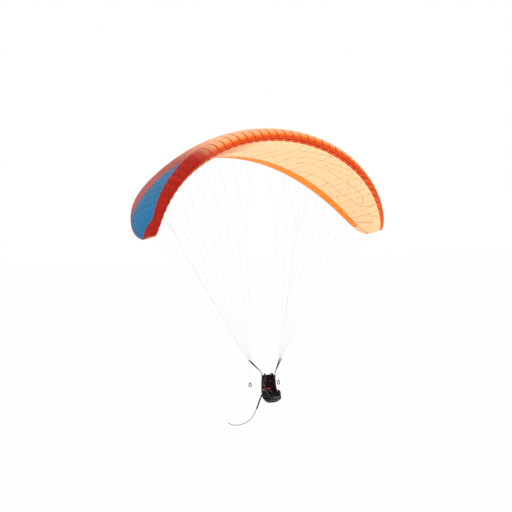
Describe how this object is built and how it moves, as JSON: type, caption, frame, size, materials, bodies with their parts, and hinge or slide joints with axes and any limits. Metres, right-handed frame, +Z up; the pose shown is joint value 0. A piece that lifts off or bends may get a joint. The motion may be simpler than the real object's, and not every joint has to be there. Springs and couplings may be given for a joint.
{
  "type": "paraglider",
  "caption": "Full-size paraglider: arched ram-air canopy on rows of suspension lines, with brakes, risers, carabiners and an open seated harness.",
  "frame": {"origin": "centre of lift: the point at 30% chord in the middle of the canopy", "axes": "+Z up, +X along the span to the right-hand wing tip as seen from in front, flight direction -Y"},
  "size_m": [8.883, 3.1395, 9.2881],
  "materials": {
    "outer_orange": "matte",
    "outer_blue": "matte",
    "inner_cream": "matte",
    "trailing_orange": "matte",
    "rib_cloth": "matte",
    "tip_red": "matte",
    "line": "matte",
    "webbing": "matte",
    "harness_cloth": "matte",
    "foam_pad": "matte",
    "board": "satin",
    "steel": "satin",
    "alloy": "satin",
    "hard_plastic": "matte",
    "red_cloth": "matte"
  },
  "bodies": {
    "canopy": {"upper_skin_centre": "outer_orange", "lower_skin_centre": "inner_cream", "rib_centre": "rib_cloth", "upper_skin_left": "outer_blue", "lower_skin_left": "inner_cream", "rib_left_6": "rib_cloth", "rib_left_18": "rib_cloth", "tip_rib_left": "tip_red", "lines_a_left": "line", "lines_b_left": "line", "lines_c_left": "line", "maillon_a_left": "steel", "maillon_b_left": "steel", "maillon_c_left": "steel", "riser_left": "webbing", "carabiner_left": "alloy", "brake_pulley_left": "steel", "upper_skin_right": "outer_orange", "lower_skin_right": "inner_cream", "rib_right_6": "rib_cloth", "rib_right_18": "rib_cloth", "tip_rib_right": "tip_red", "lines_a_right": "line", "lines_b_right": "line", "lines_c_right": "line", "maillon_a_right": "steel", "maillon_b_right": "steel", "maillon_c_right": "steel", "riser_right": "webbing", "carabiner_right": "alloy", "brake_pulley_right": "steel"},
    "toggle_left": {"brake_toggle_left": "webbing", "brake_line_left": "line"},
    "fan_left": {"brake_fan_left": "line", "brake_main_left": "line"},
    "flap_left": {"brake_flap_left": "trailing_orange"},
    "sheave_left": {"brake_sheave_left": "hard_plastic"},
    "gate_left": {"carabiner_gate_left": "alloy"},
    "toggle_right": {"brake_toggle_right": "webbing", "brake_line_right": "line"},
    "fan_right": {"brake_fan_right": "line", "brake_main_right": "line"},
    "flap_right": {"brake_flap_right": "trailing_orange"},
    "sheave_right": {"brake_sheave_right": "hard_plastic"},
    "gate_right": {"carabiner_gate_right": "alloy"},
    "harness": {"harness_shell": "harness_cloth", "back_protector": "foam_pad", "seat_board": "board", "shoulder_strap_left": "webbing", "shoulder_strap_right": "webbing", "chest_strap_left": "webbing", "chest_strap_right": "webbing", "leg_strap_left": "webbing", "leg_strap_right": "webbing", "reserve_container": "harness_cloth", "tail_cord": "webbing", "tail_sleeve": "harness_cloth", "tail_hook": "steel"},
    "reserve_grip": {"reserve_handle": "red_cloth"},
    "chest_tongue": {"chest_tongue": "hard_plastic"}
  },
  "joints": [
    {"name": "brake_left", "type": "slide", "parent": "canopy", "child": "toggle_left", "axis": [0, 0, -1], "range_m": [0, 0.38], "stiffness_N_per_m": 60, "springref_m": -0.2, "deforming": ["brake_line_left"]},
    {"name": "brake_fan_left", "type": "slide", "parent": "canopy", "child": "fan_left", "axis": [0.3956, -0.2681, -0.8784], "range_m": [0, 0.381], "deforming": ["brake_main_left", "brake_fan_left"]},
    {"name": "flap_left", "type": "hinge", "parent": "canopy", "child": "flap_left", "pos_m": [-2.91468, 1.20197, -1.23285], "axis": [-0.8212, -0.0893, -0.5636], "range_deg": [0, 34.2]},
    {"name": "brake_sheave_left", "type": "hinge", "parent": "canopy", "child": "sheave_left", "pos_m": [-0.55677, 0.12395, -6.86], "axis": [0.561, 0.8278, 0], "range_deg": [0, 2160]},
    {"name": "carabiner_gate_left", "type": "hinge", "parent": "canopy", "child": "gate_left", "pos_m": [-0.226, -0.12, -7.2484], "axis": [0, -1, 0], "range_deg": [0, 24], "stiffness_Nm_per_rad": 0.1, "springref_deg": -17.19},
    {"name": "brake_right", "type": "slide", "parent": "canopy", "child": "toggle_right", "axis": [0, 0, -1], "range_m": [0, 0.38], "stiffness_N_per_m": 60, "springref_m": -0.2, "deforming": ["brake_line_right"]},
    {"name": "brake_fan_right", "type": "slide", "parent": "canopy", "child": "fan_right", "axis": [-0.3956, -0.2681, -0.8784], "range_m": [0, 0.381], "deforming": ["brake_main_right", "brake_fan_right"]},
    {"name": "flap_right", "type": "hinge", "parent": "canopy", "child": "flap_right", "pos_m": [2.91468, 1.20197, -1.23285], "axis": [-0.8212, 0.0893, 0.5636], "range_deg": [0, 34.2]},
    {"name": "brake_sheave_right", "type": "hinge", "parent": "canopy", "child": "sheave_right", "pos_m": [0.55677, 0.12395, -6.86], "axis": [0.561, -0.8278, 0], "range_deg": [0, 2160]},
    {"name": "carabiner_gate_right", "type": "hinge", "parent": "canopy", "child": "gate_right", "pos_m": [0.226, -0.12, -7.2484], "axis": [0, 1, 0], "range_deg": [0, 24], "stiffness_Nm_per_rad": 0.1, "springref_deg": -17.19},
    {"name": "harness_swing", "type": "hinge", "parent": "canopy", "child": "harness", "pos_m": [0, -0.12, -7.275], "axis": [1, 0, 0], "range_deg": [-25, 25]},
    {"name": "reserve_pull", "type": "slide", "parent": "harness", "child": "reserve_grip", "axis": [1, 0, 0], "range_m": [0, 0.09]},
    {"name": "chest_buckle", "type": "slide", "parent": "harness", "child": "chest_tongue", "axis": [1, 0, 0], "range_m": [0, 0.032], "deforming": ["chest_strap_right"]}
  ],
  "couplings": [
    {"joint": "brake_fan_left", "follows": "brake_left", "ratio": 1},
    {"joint": "flap_left", "follows": "brake_left", "rad_per_m": 1.56},
    {"joint": "brake_sheave_left", "follows": "brake_left", "rad_per_m": 99},
    {"joint": "brake_fan_right", "follows": "brake_right", "ratio": 1},
    {"joint": "flap_right", "follows": "brake_right", "rad_per_m": 1.56},
    {"joint": "brake_sheave_right", "follows": "brake_right", "rad_per_m": 99}
  ]
}
